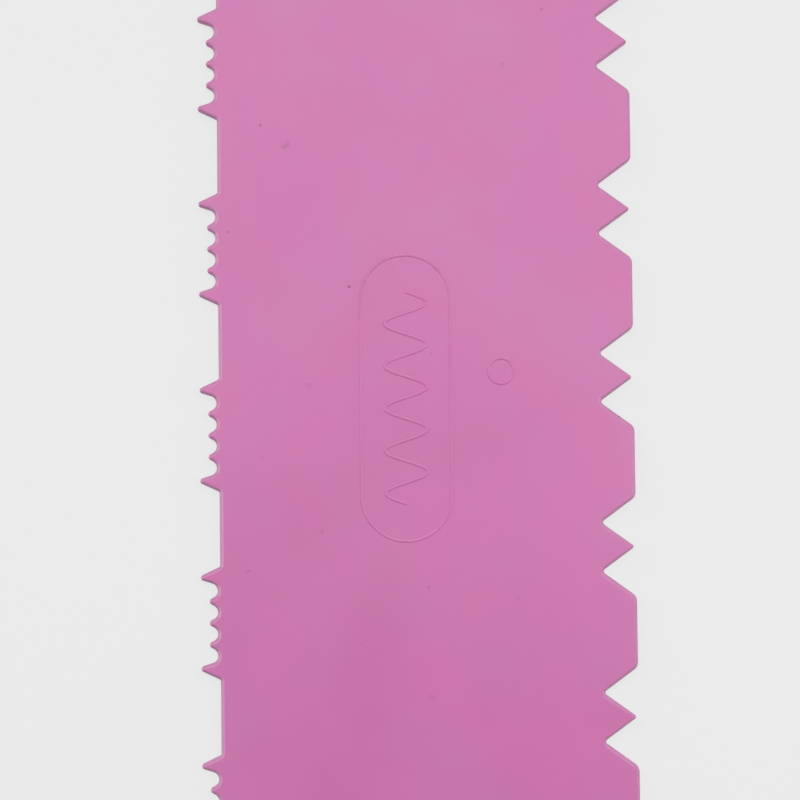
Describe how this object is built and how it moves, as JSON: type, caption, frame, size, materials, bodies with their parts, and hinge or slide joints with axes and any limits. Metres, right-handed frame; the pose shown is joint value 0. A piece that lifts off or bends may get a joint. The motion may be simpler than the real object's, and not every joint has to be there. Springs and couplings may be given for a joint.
{
  "type": "icing comb",
  "caption": "Flat moulded plastic icing comb: pointed teeth between V notches along one long edge, groups of fine scalloped teeth along the other.",
  "frame": {"origin": "middle of the bounding box at the plate's flat back face", "axes": "+X towards the notched edge, +Y along the length, +Z out of the face with the raised ornament"},
  "size_m": [0.082, 0.256, 0.0021],
  "materials": {
    "pink_plastic": "satin"
  },
  "bodies": {
    "root": {"comb_plate": "pink_plastic"}
  },
  "joints": []
}
